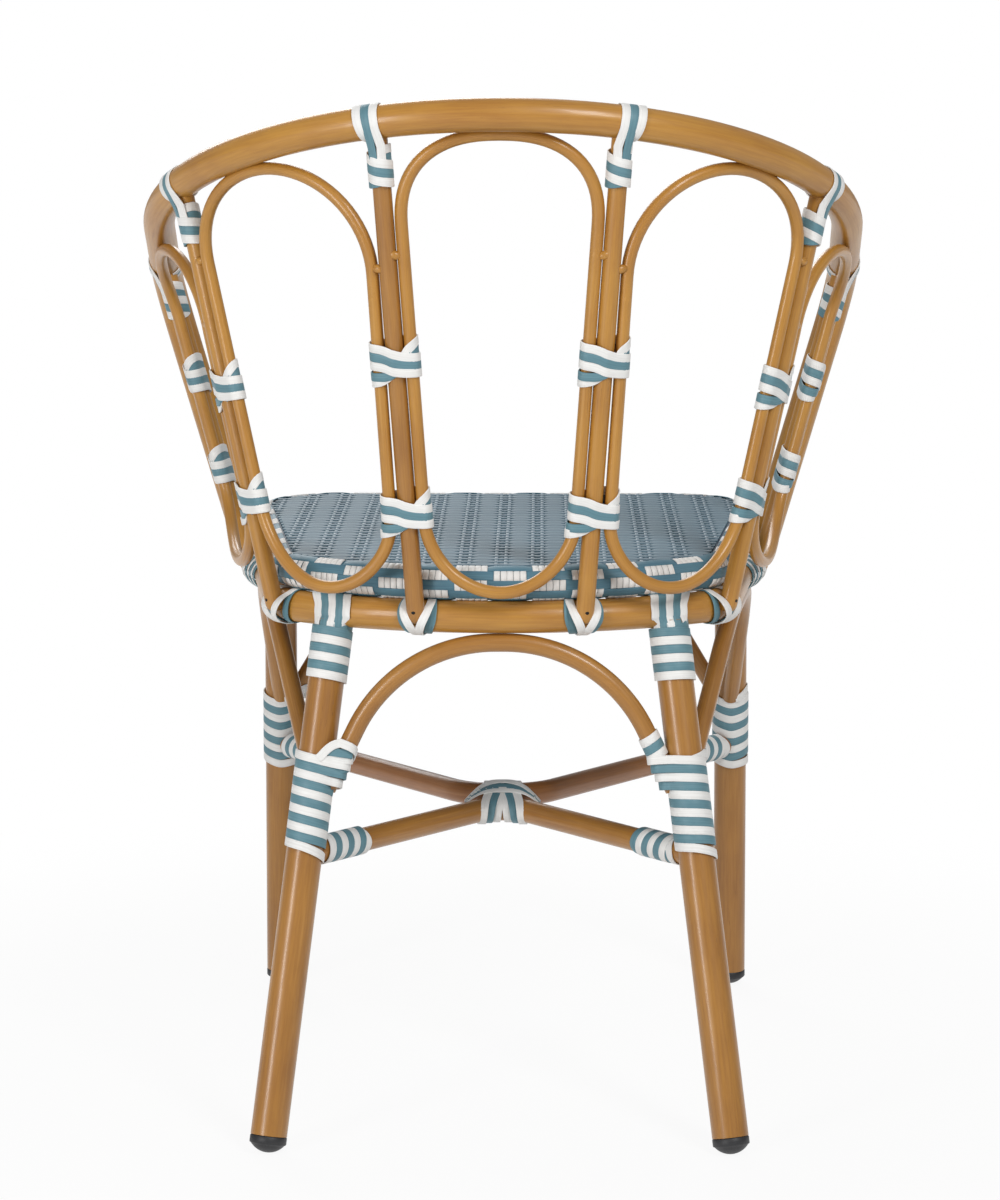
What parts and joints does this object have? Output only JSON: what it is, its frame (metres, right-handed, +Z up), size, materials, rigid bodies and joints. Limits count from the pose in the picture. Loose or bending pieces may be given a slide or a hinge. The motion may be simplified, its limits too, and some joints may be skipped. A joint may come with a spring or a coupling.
{
  "type": "bistro armchair",
  "caption": "Round-backed cafe armchair of bent tubes with looped back and arms, wound joints, splayed legs and a woven seat.",
  "frame": {"origin": "on the floor, under the middle of the chair's overall outline", "axes": "+Z up, -Y the way the sitter faces, +X the sitter's left"},
  "size_m": [0.5966, 0.5382, 0.8135],
  "materials": {
    "bamboo": "satin, painted as bamboo",
    "bare_metal": "mill",
    "cap_rubber": "matt",
    "weave": "woven strips",
    "strip": "flat strips in two colours"
  },
  "bodies": {
    "root": {"top_rail": "bamboo", "seat_ring": "bamboo", "seat_frame": "bare_metal", "seat_weave": "weave", "loop_rear": "bamboo", "loop_corner_left": "bamboo", "loop_corner_right": "bamboo", "loop_side_left": "bamboo", "loop_side_right": "bamboo", "post_rear_left": "bamboo", "post_corner_left": "bamboo", "post_side_left": "bamboo", "post_rear_right": "bamboo", "post_corner_right": "bamboo", "post_side_right": "bamboo", "arch_rear": "bamboo", "arch_front": "bamboo", "arch_left": "bamboo", "arch_right": "bamboo", "stretcher_rear": "bamboo", "stretcher_front": "bamboo", "leg_rear_left": "bamboo", "foot_cap_rear_left": "cap_rubber", "leg_front_left": "bamboo", "foot_cap_front_left": "cap_rubber", "leg_rear_right": "bamboo", "foot_cap_rear_right": "cap_rubber", "leg_front_right": "bamboo", "foot_cap_front_right": "cap_rubber", "wrap_rail_rear_left": "strip", "wrap_mid_rear_left": "strip", "wrap_low_rear_left": "strip", "wrap_rail_corner_left": "strip", "wrap_mid_corner_left": "strip", "wrap_low_corner_left": "strip", "wrap_rail_side_left": "strip", "wrap_mid_side_left": "strip", "wrap_low_side_left": "strip", "wrap_rail_rear_right": "strip", "wrap_mid_rear_right": "strip", "wrap_low_rear_right": "strip", "wrap_rail_corner_right": "strip", "wrap_mid_corner_right": "strip", "wrap_low_corner_right": "strip", "wrap_rail_side_right": "strip", "wrap_mid_side_right": "strip", "wrap_low_side_right": "strip", "wrap_leg_top_rear_left": "strip", "wrap_leg_mid_rear_left": "strip", "wrap_leg_top_front_left": "strip", "wrap_leg_mid_front_left": "strip", "wrap_leg_top_rear_right": "strip", "wrap_leg_mid_rear_right": "strip", "wrap_leg_top_front_right": "strip", "wrap_leg_mid_front_right": "strip", "wrap_knot": "strip"}
  },
  "joints": []
}
